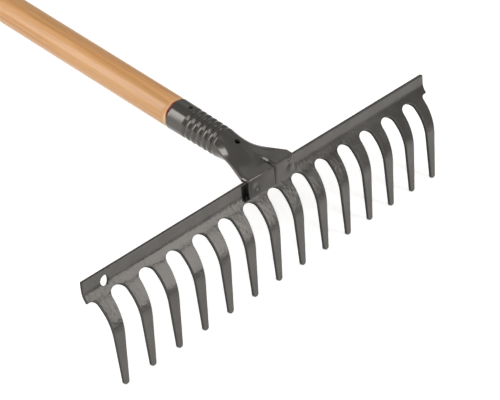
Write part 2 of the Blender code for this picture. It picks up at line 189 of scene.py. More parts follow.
# The finishes. A size is that of one patch of a texture. The painted shadow's limits are followed by its soft
# edge.
METAL_SHARE = 0.55
CLOUD_SIZE = 0.020
PAINTED_SHADOW_X = (-0.0285, -0.0246, 0.0009)
PAINTED_SHADOW_Z = (-0.0100, -0.0012, 0.0016)
PAINTED_SHADOW_DULL = 0.4
TEAR_SIZE = 0.0007
MOTTLE_SIZE = 0.0008
GRAIN_SIZE = (0.0024, 0.140, 0.0024)
PORE_SIZE = (0.0006, 0.012, 0.0006)
TINT_SIZE = (0.014, 0.090, 0.014)

# Painted shadow and gathered varnish at the joint, and a painted highlight on the wood beside it: side, reach
# round it, length and soft edge.
JOINT_SIDE, JOINT_REACH, JOINT_LENGTH, JOINT_EDGE = (-0.70, 0.0, 0.71), (0.30, 0.92), 0.0019, 0.0003
HIGHLIGHT_SIDE, HIGHLIGHT_REACH, HIGHLIGHT_LENGTH, HIGHLIGHT_EDGE = (-0.87, 0.0, -0.50), (0.10, 0.80), 0.0026, 0.0012

# How finely the surfaces are drawn.
SHEET_STEP = 0.0014
MOUTH_ROWS, RIB_ROWS, FAN_ROWS = 12, 100, 40
RING_STEPS = 64
EVEN_SPREAD = 0.35
FOLD_STEPS = 4
BOW_ROWS = 3
FLAP_STEPS = 16
INSIDE_STEPS = 4
SHANK_ROWS = 60
GRIP_STEPS = 16
SHOULDER_STEPS = 8
TURN_STEPS = 96
BEAD_STEPS = 32
BEAD_ROWS = 24
MERGE = 0.00001

# The flat blank's upright faces are sheared, apart from those that face up as its top edge does. They take
# the darker cut-edge colour, partly as painted shade.
WALL_SLOPE = 0.2
TOP_SLOPE = 0.9

# The stage. A softbox has place, target, width, height and roll in degrees, by its power setting's name.
FLOOR_REACH = 30.0
FLOOR_GLOW = 0.5
SOFTBOXES = {
    "strip": ((-0.78, 0.01, 0.52), (0.02, -0.59, 0.52), 0.32, 0.95, 0.0),
    "front": ((0.38, -1.165, 0.49), (-0.17, -0.70, 0.05), 0.30, 0.75, -29.0),
    "back": ((0.98, 0.05, 1.05), (0.0, -0.62, 0.08), 0.80, 0.80, 0.0),
    "over": ((-0.80, -1.00, 1.30), (0.0, -0.60, 0.0), 0.90, 0.90, 0.0),
}
SENSOR_WIDTH = 36.0
CAMERA_SHIFT = (0.001167, 0.007619)
CAMERA_REACH = 50.0
CAMERA_PLACE = (-0.924488, -1.280885, 0.944317)
CAMERA_TURN = (0.8361, 0.3542, -0.2396, -0.3437)


class HeadSizes(bpy.types.PropertyGroup):
    """Sizes of the pressed head."""

    teeth: IntProperty(name="Teeth", description="Teeth along the head", default=14, min=2)
    pitch: FloatProperty(name="Pitch", description="Distance between teeth", default=0.027, unit="LENGTH")
    plate: FloatProperty(name="Plate", description="Thickness of its sheet", default=0.0028, unit="LENGTH")
    edge: FloatProperty(name="Edge", description="Rounding of its edges", default=0.0005, unit="LENGTH")
    wave: FloatProperty(name="Wave", description="How far the sheet wanders", default=0.00012, unit="LENGTH")


class SocketSizes(bpy.types.PropertyGroup):
    """Sizes of the formed socket."""

    wall: FloatProperty(name="Wall", description="Thickness of its sheet", default=0.0018, unit="LENGTH")
    edge: FloatProperty(name="Edge", description="Rounding of its cut edges", default=0.0002, unit="LENGTH")
    grooves: IntProperty(name="Grooves", description="Rolled grooves", default=6, min=1)
    depth: FloatProperty(name="Groove depth", description="How deep each is", default=0.00095, unit="LENGTH")
    dip: FloatProperty(name="Left lip", description="Its sink at the seam", default=0.0005, unit="LENGTH")
    lip_drop: FloatProperty(name="Right lip", description="Its turn downwards", default=0.0014, unit="LENGTH")
    lift_left: FloatProperty(name="Left lobe", description="Its full rise", default=0.0006, unit="LENGTH")
    lift_right: FloatProperty(name="Right lobe", description="Its full rise", default=0.0019, unit="LENGTH")
    bow: FloatProperty(name="Fold bow", description="Its middle's bulge", default=0.0007, unit="LENGTH")


class Finishes(bpy.types.PropertyGroup):
    """Colours of the finishes, as sRGB hex values."""

    lacquer: StringProperty(name="Lacquer", description="Grey lacquer on the steel", default="#565350")
    lacquer_worn: StringProperty(name="Lacquer, worn", description="Where thin or rubbed", default="#5F5C58")
    # Darker colour of the cut edges, partly painted shade on the blank's upright faces.
    sheared_and_painted_shade: StringProperty(name="Sheared edge", description="Lacquer on cut edges", default="#2B2826")
    # Near-black: painted shadow beside the front flap's left edge, and dark mottle on the cut edges and the
    # nail.
    painted_shadow_and_mottle: StringProperty(name="Scorch", description="Burnt lacquer beside the weld", default="#080605")
    wood: StringProperty(name="Wood", description="Varnished wood between its grain lines", default="#E0AB72")
    wood_amber: StringProperty(name="Wood, amber", description="Under thicker varnish", default="#CF8F4C")
    # A painted highlight on the lower left of the handle's rounding at the socket's mouth.
    wood_painted_highlight: StringProperty(name="Wood, pale", description="Rubbed ring by the socket", default="#F4CA94")
    wood_grain: StringProperty(name="Wood grain", description="Darker lines of the grain", default="#A9713C")
    # Varnish gathered at the joint, with painted shadow of the gap between wood and socket.
    joint_varnish_and_shadow: StringProperty(name="Wood at the joint", description="Gathered varnish", default="#86230A")
    nail: StringProperty(name="Nail", description="Oxidised wire", default="#3A3532")
    floor: StringProperty(name="Floor", description="Studio floor", default="#F2F2F0")


def linear(value):
    """An sRGB hex colour as linear red, green, blue and alpha."""
    srgb = np.array([int(value[i : i + 2], 16) for i in (1, 3, 5)]) / 255
    rgb = np.where(srgb <= 0.04045, srgb / 12.92, ((srgb + 0.055) / 1.055) ** 2.4)
    return (*rgb.tolist(), 1.0)


def lay_down(points):
    """Points from the rake's own frame to where it rests: turned about X by the rest tilt, then moved."""
    x, y, z = np.moveaxis(points, -1, 0)
    c, s = math.cos(REST_TILT), math.sin(REST_TILT)
    return np.stack((x, y * c + z * s, z * c - y * s), axis=-1) + REST_PLACE


def ease(share):
    """Runs from 0 to 1 with a soft start and a soft end: 3 s squared less 2 s cubed."""
    return share * share * (3 - 2 * share)


def arc(centre, radius, start, end, steps):
    """Points on an arc from one angle to another, as an array of pairs."""
    angles = np.linspace(start, end, steps + 1)
    return np.stack((centre[0] + radius * np.cos(angles), centre[1] + radius * np.sin(angles)), axis=-1)


def grids_to_mesh(name, grids):
    """One mesh of quads from grids of points, with the points that the grids share merged."""
    points, quads, start = [], [], 0
    for grid in grids:
        rows, columns = grid.shape[:2]
        index = start + np.arange(rows * columns).reshape(rows, columns)
        corners = (index[:-1, :-1], index[:-1, 1:], index[1:, 1:], index[1:, :-1])
        quads.append(np.stack(corners, axis=-1).reshape(-1, 4))
        points.append(grid.reshape(-1, 3))
        start += rows * columns
    mesh = bpy.data.meshes.new(name)
    mesh.from_pydata(np.concatenate(points).tolist(), [], np.concatenate(quads).tolist())
    merge_and_face_out(mesh)
    return mesh


def merge_and_face_out(mesh):
    """Merges points that lie together, which takes out faces without area, and turns all faces outwards."""
    shape = bmesh.new()
    shape.from_mesh(mesh)
    bmesh.ops.remove_doubles(shape, verts=shape.verts, dist=MERGE)
    bmesh.ops.recalc_face_normals(shape, faces=shape.faces)
    shape.to_mesh(mesh)
    shape.free()


def shade_round(mesh, degrees):
    """Smooth shading, with edges sharper than the angle kept crisp."""
    mesh.shade_smooth()
    mesh.set_sharp_from_angle(angle=math.radians(degrees))


def move_points(mesh, move):
    """Moves the mesh's points by a function of their array."""
    points = np.empty(len(mesh.vertices) * 3)
    mesh.vertices.foreach_get("co", points)
    mesh.vertices.foreach_set("co", move(points.reshape(-1, 3)).ravel())
    mesh.update()


def applied(obj):
    """The object's shape with its modifiers applied, as a new mesh; the object itself is removed."""
    graph = bpy.context.evaluated_depsgraph_get()
    mesh = bpy.data.meshes.new_from_object(obj.evaluated_get(graph))
    bpy.data.objects.remove(obj, do_unlink=True)
    return mesh


def add_object(name, data):
    """A new object in the scene."""
    obj = bpy.data.objects.new(name, data)
    bpy.context.scene.collection.objects.link(obj)
    return obj


def add_piece(name, mesh, material, slot, *nodes):
    """A finished piece in place of the CAD nodes it stands for."""
    mesh.materials.clear()
    mesh.materials.append(material)
    piece = add_object(name, mesh)
    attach(piece, "root")
    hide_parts(*nodes)
    return piece


def add_node(tree, kind, settings=None, links=None):
    """Adds a node. Settings are its own properties or its inputs' values.

    Links join its inputs to other nodes' outputs, where a node by itself stands for its first output.
    """
    node = tree.nodes.new(kind)
    for key, value in (settings or {}).items():
        if isinstance(key, str) and hasattr(node, key):
            setattr(node, key, value)
        else:
            node.inputs[key].default_value = value
    for key, source in (links or {}).items():
        tree.links.new(source.outputs[0] if isinstance(source, bpy.types.Node) else source, node.inputs[key])
    return node


def new_finish(name):
    """A new material with an empty node tree, as (material, tree)."""
    material = bpy.data.materials.new(name)
    material.use_nodes = True
    material.node_tree.nodes.clear()
    return material, material.node_tree


def finished(material):
    """The material with its last node joined to its output."""
    tree = material.node_tree
    add_node(tree, "ShaderNodeOutputMaterial", {}, {"Surface": tree.nodes[-1]})
    return material


def rake_coordinates(tree):
    """Object coordinates turned back to the rake's own frame, so that grain runs along the handle."""
    c, s = math.cos(REST_TILT), math.sin(REST_TILT)
    x, y, z = REST_PLACE.tolist()
    place = (-x, -(y * c - z * s), -(y * s + z * c))
    where = add_node(tree, "ShaderNodeTexCoord")
    settings = {"Rotation": (REST_TILT, 0.0, 0.0), "Location": place}
    return add_node(tree, "ShaderNodeMapping", settings, {"Vector": where.outputs["Object"]})


def inside(tree, value, low, high, edge):
    """1 where a value lies between two limits, falling to 0 over an edge's width outside them."""
    rise = {"From Min": low - edge, "From Max": low}
    fall = {"From Min": high, "From Max": high + edge, "To Min": 1.0, "To Max": 0.0}
    first = add_node(tree, "ShaderNodeMapRange", rise, {"Value": value})
    last = add_node(tree, "ShaderNodeMapRange", fall, {"Value": value})
    return add_node(tree, "ShaderNodeMath", {"operation": "MINIMUM"}, {0: first, 1: last})


def lacquer(colours, name, peel_width, peel_depth, smoothest, roughest):
    """Sprayed gunmetal lacquer over mild steel, with an orange peel of the given width and depth.

    The fine metal flake in it gives the soft silvery sheen that follows the light, and the film is a little
    lighter where it is thin. A short upright band at the front flap's left edge is painted black and made
    duller: a painted shadow of the gap behind the flap.
    """
    material, tree = new_finish(name)
    place = rake_coordinates(tree)
    cloud = add_node(tree, "ShaderNodeTexNoise", {"Scale": 1 / CLOUD_SIZE, "Detail": 3.0}, {"Vector": place})
    peel = add_node(tree, "ShaderNodeTexNoise", {"Scale": 1 / peel_width}, {"Vector": place})
    thin = add_node(tree, "ShaderNodeMapRange", {"From Min": 0.38, "From Max": 0.66}, {"Value": cloud})
    shades = {"data_type": "RGBA", 6: linear(colours.lacquer), 7: linear(colours.lacquer_worn)}
    colour = add_node(tree, "ShaderNodeMix", shades, {0: thin})
    parts = add_node(tree, "ShaderNodeSeparateXYZ", {}, {0: place})
    # A black band beside the front flap's left edge, made duller too: painted shadow of the gap behind the
    # flap.
    across, upright = inside(tree, parts.outputs["X"], *PAINTED_SHADOW_X), inside(tree, parts.outputs["Z"], *PAINTED_SHADOW_Z)
    painted_shadow_and_mottle = add_node(tree, "ShaderNodeMath", {"operation": "MULTIPLY"}, {0: across, 1: upright})
    shades = {"data_type": "RGBA", 7: linear(colours.painted_shadow_and_mottle)}
    with_painted_shadow = add_node(tree, "ShaderNodeMix", shades, {0: painted_shadow_and_mottle, 6: colour.outputs[2]})
    limits = {"From Min": 0.30, "From Max": 0.70, "To Min": smoothest, "To Max": roughest}
    rough = add_node(tree, "ShaderNodeMapRange", limits, {"Value": cloud})
    settings = {"operation": "MULTIPLY_ADD", 1: PAINTED_SHADOW_DULL}
    dull = add_node(tree, "ShaderNodeMath", settings, {0: painted_shadow_and_mottle, 2: rough})
    bump = add_node(tree, "ShaderNodeBump", {"Distance": peel_depth}, {"Height": peel})
    surface = {"Base Color": with_painted_shadow.outputs[2], "Roughness": dull, "Normal": bump}
    add_node(tree, "ShaderNodeBsdfPrincipled", {"Metallic": METAL_SHARE}, surface)
    return finished(material)


def pressed_steel_lacquer(colours):
    """The head's finish: the press has roughened the sheet, so its lacquer lies in a coarser peel."""
    return lacquer(colours, "gunmetal lacquer on pressed steel", 0.0028, 0.00022, 0.20, 0.27)


def rolled_steel_lacquer(colours):
    """The socket's finish: the rollers have smoothed the sheet, so highlights on it are crisp."""
    return lacquer(colours, "gunmetal lacquer on rolled steel", 0.0020, 0.00001, 0.14, 0.19)


def sheared_edge(colours):
    """The sheared edges of the blank: a torn, matt face in a much darker colour, partly painted shade on
    these faces.
    """
    # Dark cut-edge colour, partly painted shade on the blank's upright faces.
    material, tree = new_finish("thin lacquer on sheared edges")
    tear = add_node(tree, "ShaderNodeTexNoise", {"Scale": 1 / TEAR_SIZE}, {"Vector": rake_coordinates(tree)})
    shades = {"data_type": "RGBA", 6: linear(colours.sheared_and_painted_shade), 7: linear(colours.painted_shadow_and_mottle)}
    colour = add_node(tree, "ShaderNodeMix", shades, {0: tear})
    bump = add_node(tree, "ShaderNodeBump", {"Distance": 0.00005}, {"Height": tear})
    settings = {"Metallic": 0.3, "Roughness": 0.5}
    add_node(tree, "ShaderNodeBsdfPrincipled", settings, {"Base Color": colour.outputs[2], "Normal": bump})
    return finished(material)


def varnished_wood(colours):
    """Turned light hardwood under a satin amber varnish.

    Straight grain runs the length of the handle as soft darker lines 1 to 2 mm apart, crossed by fine short
    pores. Its rounding at the socket's mouth has a pale painted highlight on its lower left, and the upper
    left of the joint is dark red, from varnish gathered there and painted shadow in the gap.
    """
    material, tree = new_finish("amber satin varnish on turned hardwood")
    place = rake_coordinates(tree)
    noises = []
    for size, more in ((GRAIN_SIZE, {"Detail": 3.0, "Roughness": 0.6}), (PORE_SIZE, {}), (TINT_SIZE, {})):
        stretch = add_node(tree, "ShaderNodeMapping", {"Scale": [1 / side for side in size]}, {0: place})
        noises.append(add_node(tree, "ShaderNodeTexNoise", {"Scale": 1.0, **more}, {"Vector": stretch}))
    lines, pores, cloud = noises
    limits = {"From Min": 0.36, "From Max": 0.70, "To Max": 0.55}
    grain = add_node(tree, "ShaderNodeMapRange", limits, {0: lines})
    limits = {"From Min": 0.35, "From Max": 0.70, "To Max": 0.45}
    tint = add_node(tree, "ShaderNodeMapRange", limits, {0: cloud})
    limits = {"From Min": 0.58, "From Max": 0.76, "To Max": 0.30}
    fleck = add_node(tree, "ShaderNodeMapRange", limits, {0: pores})
    darker = add_node(tree, "ShaderNodeMath", {"operation": "ADD"}, {0: grain, 1: fleck})
    parts = add_node(tree, "ShaderNodeSeparateXYZ", {}, {0: place})
    sides = []
    for side, (low, high), ends in (
        (JOINT_SIDE, JOINT_REACH, {"To Max": JOINT_LENGTH}),
        (HIGHLIGHT_SIDE, HIGHLIGHT_REACH, {"To Min": 0.25}),
    ):
        limits = {"From Min": low * HANDLE_RADIUS, "From Max": high * HANDLE_RADIUS, **ends}
        towards = add_node(tree, "ShaderNodeVectorMath", {"operation": "DOT_PRODUCT", 1: side}, {0: place})
        sides.append(add_node(tree, "ShaderNodeMapRange", limits, {0: towards.outputs["Value"]}))
    reach, highlight_side = sides
    past = add_node(tree, "ShaderNodeMath", {"operation": "SUBTRACT"}, {0: parts.outputs["Y"], 1: reach})
    # The pale lower left of the rounding at the socket's mouth is a painted highlight.
    ring = inside(tree, parts.outputs["Y"], SOCKET_LENGTH, SOCKET_LENGTH + HIGHLIGHT_LENGTH, HIGHLIGHT_EDGE)
    painted_highlight = add_node(tree, "ShaderNodeMath", {"operation": "MULTIPLY"}, {0: highlight_side, 1: ring})
    # Dark red at the upper left of the joint: gathered varnish and painted shadow in the gap.
    joint = inside(tree, past, 0.0, SOCKET_LENGTH, JOINT_EDGE)
    shades = {"data_type": "RGBA", 6: linear(colours.wood), 7: linear(colours.wood_amber)}
    colour = add_node(tree, "ShaderNodeMix", shades, {0: tint})
    for share, shade in ((darker, colours.wood_grain), (painted_highlight, colours.wood_painted_highlight), (joint, colours.joint_varnish_and_shadow)):
        shades = {"data_type": "RGBA", 7: linear(shade)}
        colour = add_node(tree, "ShaderNodeMix", shades, {0: share, 6: colour.outputs[2]})
    bump = add_node(tree, "ShaderNodeBump", {"Distance": 0.00004}, {"Height": pores})
    settings = {"Roughness": 0.40, "Coat Weight": 0.35, "Coat Roughness": 0.22}
    add_node(tree, "ShaderNodeBsdfPrincipled", settings, {"Base Color": colour.outputs[2], "Normal": bump})
    return finished(material)


def oxidised_wire(colours):
    """Dull drawn wire with a brown-black oxide skin, slightly mottled."""
    material, tree = new_finish("oxidised steel wire")
    place = rake_coordinates(tree)
    mottle = add_node(tree, "ShaderNodeTexNoise", {"Scale": 1 / MOTTLE_SIZE}, {"Vector": place})
    shades = {"data_type": "RGBA", 6: linear(colours.nail), 7: linear(colours.painted_shadow_and_mottle)}
    colour = add_node(tree, "ShaderNodeMix", shades, {0: mottle})
    settings = {"Metallic": 0.8, "Roughness": 0.5}
    add_node(tree, "ShaderNodeBsdfPrincipled", settings, {"Base Color": colour.outputs[2]})
    return finished(material)


def finish(make):
    """The scene's own copy of a finish, made the first time that it is asked for."""
    if make not in FINISHES:
        FINISHES[make] = make(bpy.context.scene.rake_finishes)
    return FINISHES[make]


def rounded_corners(corners, radii, steps):
    """An outline with each corner rounded by an arc tangent to both of its sides, for all corners at once."""
    before, after = np.roll(corners, 1, axis=0) - corners, np.roll(corners, -1, axis=0) - corners
    before /= np.linalg.norm(before, axis=1, keepdims=True)
    after /= np.linalg.norm(after, axis=1, keepdims=True)
    half = np.arccos(np.clip((before * after).sum(axis=1), -1.0, 1.0)) / 2
    bisector = (before + after) / np.linalg.norm(before + after, axis=1, keepdims=True)
    centres = corners + bisector * (radii / np.sin(half))[:, None]
    start = corners + before * (radii / np.tan(half))[:, None] - centres
    turn = np.sign(after[:, 0] * before[:, 1] - after[:, 1] * before[:, 0]) * (math.pi - 2 * half)
    angles = np.arctan2(start[:, 1], start[:, 0])[:, None] + turn[:, None] * np.linspace(0.0, 1.0, steps + 1)
    rim = np.stack((np.cos(angles), np.sin(angles)), axis=-1) * radii[:, None, None]
    return (centres[:, None] + rim).reshape(-1, 2)


def blank_outline(head):
    """Outline of the flat blank, its height measured up from the tips, anticlockwise from the top left."""
    half_head = (head.teeth - 1) * head.pitch / 2 + END_MARGIN
    middles = (np.arange(head.teeth) - (head.teeth - 1) / 2) * head.pitch
    slot = np.full(head.teeth + 1, SHEET_HEIGHT - SLOT_DROP)
    slot[[0, -1]] = SHEET_HEIGHT - FOOT_DROP
    corner = np.full(head.teeth + 1, SLOT_CORNER)
    corner[[0, -1]] = FOOT_CORNER
    tip, flat = np.zeros(head.teeth), np.full(head.teeth, TIP_CORNER)
    x = middles + np.array((-ROOT_WIDTH, -TIP_WIDTH, TIP_WIDTH, ROOT_WIDTH))[:, None] / 2
    y = np.stack((slot[:-1], tip, tip, slot[1:]))
    r = np.stack((corner[:-1], flat, flat, corner[1:]))
    teeth = np.stack((x, y), axis=-1).transpose(1, 0, 2).reshape(-1, 2)
    top, foot = SHEET_HEIGHT, SHEET_HEIGHT - FOOT_DROP
    left, right = [(-half_head, top), (-half_head, foot)], [(half_head, foot), (half_head, top)]
    ends = np.full(2, END_CORNER)
    radii = np.concatenate((ends, r.T.ravel(), ends))
    return rounded_corners(np.concatenate((left, teeth, right)), radii, CORNER_STEPS)


def sheet_lean(drop):
    """Lean of the sheet from upright at a distance down it from its top edge."""
    bend = FLANGE_BEND * (SHOULDER_LEAN - FLANGE_LEAN)
    shoulder = SHOULDER_BEND * (SHOULDER_LEAN - TOOTH_LEAN)
    stops = np.cumsum((FLANGE_FLAT, bend, shoulder))
    return np.interp(drop, stops, (FLANGE_LEAN, SHOULDER_LEAN, TOOTH_LEAN))


def sheet_place(drop, off):
    """Y and Z at a distance down the sheet and a distance off its middle surface towards the front.

    The middle surface is the sum of small steps along the lean, by the midpoint rule.
    """
    stations = np.linspace(0.0, SHEET_HEIGHT, FORM_STATIONS)
    lean = sheet_lean((stations[1:] + stations[:-1]) / 2)
    run = np.diff(stations)
    y = np.concatenate(([0.0], -np.cumsum(run * np.sin(lean))))
    z = np.concatenate(([0.0], -np.cumsum(run * np.cos(lean)))) + PLATE_TOP
    here = sheet_lean(drop)
    y_here = np.interp(drop, stations, y) - off * np.cos(here)
    return y_here, np.interp(drop, stations, z) + off * np.sin(here)


def flat_blank(head):
    """The blank as a solid of the plate's thickness with rounded edges, from a filled flat curve."""
    half_head = (head.teeth - 1) * head.pitch / 2 + END_MARGIN
    middle = (HANG_HOLE_INSET - half_head, SHEET_HEIGHT - HANG_HOLE_DROP)
    hole = arc(middle, HANG_HOLE_RADIUS, 2 * math.pi, 0.0, HANG_HOLE_STEPS)
    curve = bpy.data.curves.new("blank", "CURVE")
    curve.dimensions = "2D"
    curve.fill_mode = "BOTH"
    curve.extrude = head.plate / 2 - head.edge
    curve.bevel_depth = head.edge
    curve.bevel_resolution = 2
    curve.offset = -head.edge
    for outline in (blank_outline(head), hole[:-1]):
        spline = curve.splines.new("POLY")
        spline.points.add(len(outline) - 1)
        spline.use_cyclic_u = True
        flat = np.zeros((len(outline), 4))
        flat[:, :2] = outline
        spline.points.foreach_set("co", flat.ravel())
    return applied(add_object("blank", curve))


def score(mesh, head):
    """Cuts the blank so that it can bend: at even steps down the sheet and at every half pitch along it."""
    shape = bmesh.new()
    shape.from_mesh(mesh)
    bmesh.ops.remove_doubles(shape, verts=shape.verts, dist=MERGE)
    bmesh.ops.beautify_fill(shape, faces=shape.faces, edges=shape.edges, method="ANGLE")
    bmesh.ops.dissolve_limit(shape, angle_limit=math.radians(0.5), verts=shape.verts, edges=shape.edges)
    along = np.arange(1 - head.teeth, head.teeth) * head.pitch / 2
    down = np.arange(SHEET_STEP, SHEET_HEIGHT, SHEET_STEP)
    cuts = [((x, 0, 0), (1, 0, 0)) for x in along] + [((0, y, 0), (0, 1, 0)) for y in down]
    for point, normal in cuts:
        everything = shape.verts[:] + shape.edges[:] + shape.faces[:]
        bmesh.ops.bisect_plane(shape, geom=everything, dist=MERGE, plane_co=point, plane_no=normal)
    bmesh.ops.recalc_face_normals(shape, faces=shape.faces)
    shape.to_mesh(mesh)
    shape.free()


def pressed(points, head):
    """Bends the blank: each point keeps its distance off the middle surface, which follows the press form.

    The small wander of a pressed sheet is the sum of two sine waves, one along the head and one that also
    runs down it. It moves the sheet off its form, least at the top edge and evenly more towards the free
    tips.
    """
    x, height, off = points.T
    drop = SHEET_HEIGHT - height
    wave = np.sin(x * LONG_WAVE + LONG_WAVE_START) * LONG_WAVE_SHARE
    wave = wave + np.sin(x * SHORT_WAVE + drop * SHORT_WAVE_DOWN) * SHORT_WAVE_SHARE
    y, z = sheet_place(drop, off + head.wave * wave * (WAVE_AT_TOP + (1 - WAVE_AT_TOP) * drop / SHEET_HEIGHT))
    return lay_down(np.stack((x, y, z), axis=-1))


class RAKE_OT_head(bpy.types.Operator):
    """Press the toothed head from its flat blank, with rounded edges"""

    bl_idname = "rake.head"
    bl_label = "Press the Head"

    def execute(self, context):
        head = context.scene.rake_head
        mesh = flat_blank(head)
        score(mesh, head)
        slope = np.empty(len(mesh.polygons) * 3)
        mesh.polygons.foreach_get("normal", slope)
        walls = (np.abs(slope[2::3]) < WALL_SLOPE) & (slope[1::3] < TOP_SLOPE)
        move_points(mesh, lambda points: pressed(points, head))
        shade_round(mesh, 50)
        lacquered = finish(pressed_steel_lacquer)
        piece = add_piece("rake_head_pressed", mesh, lacquered, "painted_steel", "rake_head")
        # The upright cut faces take the darker cut-edge finish, partly painted shade.
        mesh.materials.append(finish(sheared_edge))
        mesh.polygons.foreach_set("material_index", walls.astype(np.int32))
        weighted = piece.modifiers.new("even shading", "WEIGHTED_NORMAL")
        weighted.keep_sharp = True
        return {"FINISHED"}


def fold_corners(head):
    """Front and rear corners of the plate's top edge as (y, z), which the fold passes over."""
    y, z = sheet_place(0.0, np.array((head.plate / 2, -head.plate / 2)))
    return (y[0], z[0]), (y[1], z[1])


def flap_path(head, socket):
    """The front flap's outer face as an array of (y, z): round the plate's front corner, then straight down.

    The straight part is tangent to the fold and ends just above the slots, one clearance in front of the
    shoulder.
    """
    front, rear = fold_corners(head)
    radius = rear[1] + FIT_GAP - front[1]
    foot = np.array(sheet_place(SLOT_DROP - FLAP_ABOVE_SLOTS, head.plate / 2 + FIT_GAP)) - front
    reach = np.hypot(*foot)
    lean = math.atan2(-foot[0], -foot[1]) - math.asin(radius / reach)
    fold = arc(front, radius + socket.wall, math.pi / 2, math.pi - lean, FOLD_STEPS)
    down = np.linspace(0.0, 1.0, FLAP_STEPS + 1)[1:, None] * math.sqrt(reach**2 - radius**2)
    return np.concatenate((fold, fold[-1] - down * np.array((math.sin(lean), math.cos(lean))))), lean


def rear_path(head, socket):
    """The rear flap's outer face as an array of (y, z), behind the flange; its first point ends the fan."""
    rear = fold_corners(head)[1]
    z = rear[1] + FIT_GAP + socket.wall - FOLD_DEPTH - INSIDE_BEND
    off = FIT_GAP + socket.wall + INSIDE_BEND
    y = rear[0] + (off + (z - rear[1]) * math.sin(FLANGE_LEAN)) / math.cos(FLANGE_LEAN)
    bend = arc((y, z), INSIDE_BEND, math.pi / 2, math.pi - FLANGE_LEAN, INSIDE_STEPS)
    drop = np.array((math.sin(FLANGE_LEAN), math.cos(FLANGE_LEAN))) * REAR_FLAP_LENGTH
    return np.concatenate((bend, bend[-1:] - drop))


def tube_radius(y):
    """Outer radius of the plain tube at a distance from the head, narrowing evenly from mouth to neck."""
    share = np.clip((SOCKET_LENGTH - y) / (SOCKET_LENGTH - FAN_LENGTH), 0.0, 1.0)
    return TUBE_RADIUS + (NECK_RADIUS - TUBE_RADIUS) * share


def groove_share(y, socket):
    """How deep the rolled grooves are there, from 0 to 1.

    Each is a V with a rounded bottom, as a hyperbola, raised to a power that rounds off its rims, so that
    only the ridges between the grooves catch the light.
    """
    nearest = np.clip(np.round((y - FIRST_GROOVE) / GROOVE_PITCH), 0, socket.grooves - 1)
    off = np.clip((y - FIRST_GROOVE - nearest * GROOVE_PITCH) / (GROOVE_WIDTH / 2), -1.0, 1.0)
    rim = math.hypot(1.0, GROOVE_BOTTOM)
    return ((rim - np.hypot(off, GROOVE_BOTTOM)) / (rim - GROOVE_BOTTOM)) ** GROOVE_RIM


def seam_place(y):
    """How far right the seam has wandered at a distance from the head: a power of its share of the run."""
    return SEAM_DRIFT * np.clip(1 - y / SEAM_RUN, 0.0, 1.0) ** SEAM_CURVE


def half_section(side_sign, y, half_width, top, bottom, level, shift):
    """Half of each section, from the seam over the side to the underside's middle, and how far past its top.

    A section is a pinched tube: two shallow circular arcs, one above the other, that meet at the sides,
    with a constant distance added all round. An arc of half width a and rise b has the half angle 2 atan(b
    / a). Where the rise is the half width it is the round tube, and where the rise is nothing it is the
    flat fold. Its points are spread partly evenly and partly by a square, nearly five times as dense at the
    seam as at the underside.
    """
    added = FOLD_DEPTH / 2
    half = half_width - added
    above = np.maximum(top - level - added, FLAT_RISE)
    below = np.maximum(level - bottom - added, FLAT_RISE)
    bend_above, bend_below = 2 * np.arctan(above / half), 2 * np.arctan(below / half)
    round_above, round_below = half / np.sin(bend_above), half / np.sin(bend_below)
    outer_above, outer_below = round_above + added, round_below + added
    start = (seam_place(y) - shift) * side_sign + np.where(y < SEAM_LENGTH, SEAM_GAP / 2, 0.0)
    turn = np.arcsin(start / outer_above)
    first = outer_above * (bend_above - turn)
    second = added * (math.pi - bend_above - bend_below)
    third = outer_below * bend_below
    steps = np.linspace(0.0, 1.0, RING_STEPS + 1)
    along = (first + second + third) * (EVEN_SPREAD * steps + (1 - EVEN_SPREAD) * steps**2)
    over = turn + np.minimum(along, first) / outer_above
    side = bend_above + np.clip(along - first, 0.0, second) / added
    under = bend_below * (1 - np.maximum(along - first - second, 0.0) / third)
    parts = [along <= first, along <= first + second]
    x_above = [outer_above * np.sin(over), half + added * np.sin(side)]
    x = np.select(parts, x_above, outer_below * np.sin(under))
    z_over = above - round_above + outer_above * np.cos(over)
    z_under = round_below - below - outer_below * np.cos(under)
    z = level + np.select(parts, [z_over, added * np.cos(side)], z_under)
    return shift + side_sign * x, z, along - first


def lips_and_lobes(side_sign, x, z, y, level, socket):
    """Height change of the fan's top: each lobe rises towards the fold, both lips turn down into the seam.

    The rise is a soft step along the fan, full on the top and fading to nothing down the rounded side. What
    the right lobe rises beyond the left one starts away from the seam and reaches it as the seam opens, so
    the closed part has no step. The right lip is a straight bevel and the left lip a wide hollow, the
    square of the nearness to the seam. Both start where the seam opens, and the left one is eased off at
    the fold.
    """
    share = np.clip(1 - y / SEAM_LENGTH, 0.0, 1.0)
    climb = ease(np.clip(1 - y / LIFT_LENGTH, 0.0, 1.0))
    on_top = np.clip((z - level) / (FOLD_DEPTH / 2), 0.0, 1.0)
    off = np.abs(x - seam_place(y))
    if side_sign > 0:
        away = ease(np.clip(off / LOBE_WIDTH, 0.0, 1.0))
        apart = ease(np.clip(SEAM_OPENING * share, 0.0, 1.0))
        rise = socket.lift_left + (socket.lift_right - socket.lift_left) * (away + (1 - away) * apart)
        opened = np.clip(LIP_OPENING * share, 0.0, 1.0)
        turned = socket.lip_drop * np.clip(1 - off / LIP_WIDTH, 0.0, 1.0) * opened
    else:
        rise = socket.lift_left
        turned = socket.dip * np.clip(1 - off / DIP_WIDTH, 0.0, 1.0) ** 2 * np.sin(DIP_TURN * share) ** 2
    return on_top * (climb * rise - turned)


